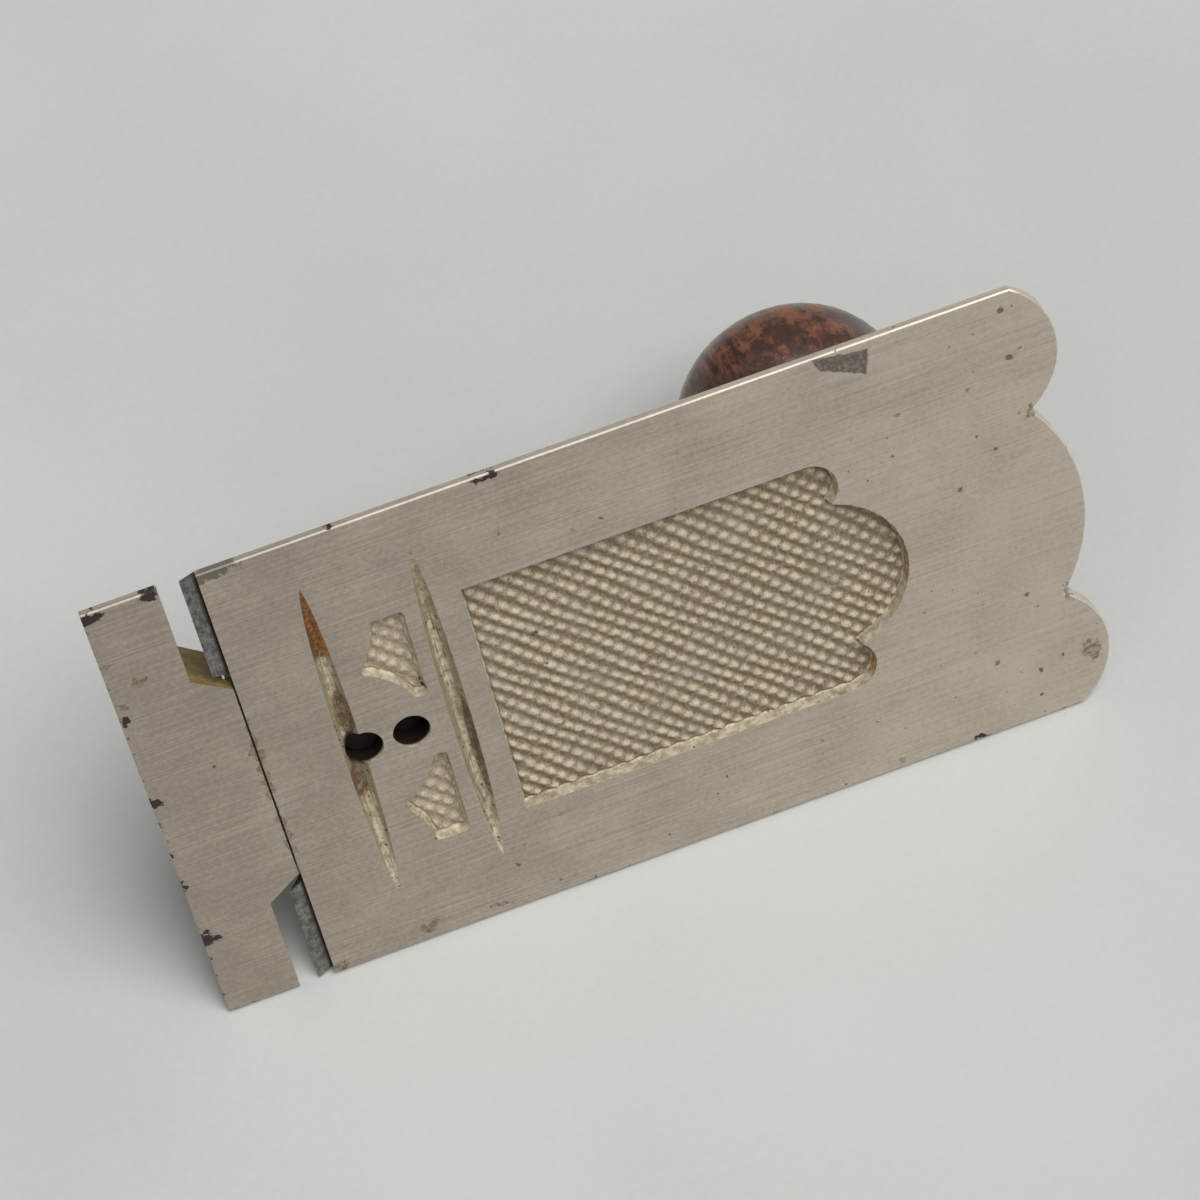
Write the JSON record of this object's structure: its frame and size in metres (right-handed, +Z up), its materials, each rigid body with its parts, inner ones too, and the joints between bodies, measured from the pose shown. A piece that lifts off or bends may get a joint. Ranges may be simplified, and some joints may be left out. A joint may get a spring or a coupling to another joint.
{
  "type": "side rebate plane",
  "caption": "Flat cast iron side rebate plane with a detachable nose, skewed cutters in side mouths, lever caps with thumbscrews and a turned wooden knob, leaning at rest on one long edge.",
  "frame": {"origin": "on the surface the plane leans on, under the middle of its bounding box", "axes": "+X from toe to heel, +Z up, sole facing -Y and up, knob behind it towards +Y"},
  "size_m": [0.1396, 0.0668, 0.0686],
  "materials": {
    "ground_casting": "ground and worn grey iron, cream-tan lacquer on the cast surfaces",
    "cutter_steel": "dark mottled tool steel",
    "plated_cap": "worn nickel plate",
    "plated_screw": "worn nickel plate, knurled",
    "screw_steel": "plain steel",
    "varnished_wood": "dark glossy varnish, worn",
    "nut_brass": "dull brass"
  },
  "bodies": {
    "plane_body": {"body": "ground_casting", "nose_washer": "screw_steel", "cap_screw_upper": "screw_steel", "cap_screw_lower": "screw_steel", "knob": "varnished_wood", "knob_stud": "screw_steel", "knob_washer": "screw_steel", "knob_nut": "nut_brass"},
    "nose": {"nose_piece": "ground_casting"},
    "nose_screw": {"nose_screw": "screw_steel"},
    "cutter_upper": {"cutter_upper": "cutter_steel"},
    "cutter_lower": {"cutter_lower": "cutter_steel"},
    "lever_cap_upper": {"lever_cap_upper": "plated_cap"},
    "lever_cap_lower": {"lever_cap_lower": "plated_cap"},
    "thumbscrew_upper": {"thumbscrew_upper": "plated_screw"},
    "thumbscrew_lower": {"thumbscrew_lower": "plated_screw"}
  },
  "joints": [
    {"name": "nose_slide", "type": "slide", "parent": "plane_body", "child": "nose", "axis": [-1, 0, 0], "range_m": [0, 0.025]},
    {"name": "nose_screw_turn", "type": "hinge", "parent": "plane_body", "child": "nose_screw", "pos_m": [-0.03915, -0.00735, 0.02989], "axis": [0, 0.9032, -0.4292], "range_deg": [0, 360]},
    {"name": "cutter_upper_slide", "type": "slide", "parent": "plane_body", "child": "cutter_upper", "axis": [0.9318, 0.0688, -0.3564], "range_m": [-0.002, 0.01]},
    {"name": "cutter_lower_slide", "type": "slide", "parent": "plane_body", "child": "cutter_lower", "axis": [0.9318, 0.3198, 0.1717], "range_m": [-0.002, 0.01]},
    {"name": "lever_cap_upper_slide", "type": "slide", "parent": "plane_body", "child": "lever_cap_upper", "axis": [0.9318, 0.0688, -0.3564], "range_m": [0, 0.007]},
    {"name": "lever_cap_lower_slide", "type": "slide", "parent": "plane_body", "child": "lever_cap_lower", "axis": [0.9318, 0.3198, 0.1717], "range_m": [0, 0.007]},
    {"name": "thumbscrew_upper_turn", "type": "hinge", "parent": "lever_cap_upper", "child": "thumbscrew_upper", "pos_m": [-0.02038, 0.00523, 0.04307], "axis": [-0.225, 0.8801, -0.4182], "range_deg": [0, 360]},
    {"name": "thumbscrew_lower_turn", "type": "hinge", "parent": "lever_cap_lower", "child": "thumbscrew_lower", "pos_m": [-0.02038, -0.00963, 0.01181], "axis": [-0.225, 0.8801, -0.4182], "range_deg": [0, 360]}
  ]
}
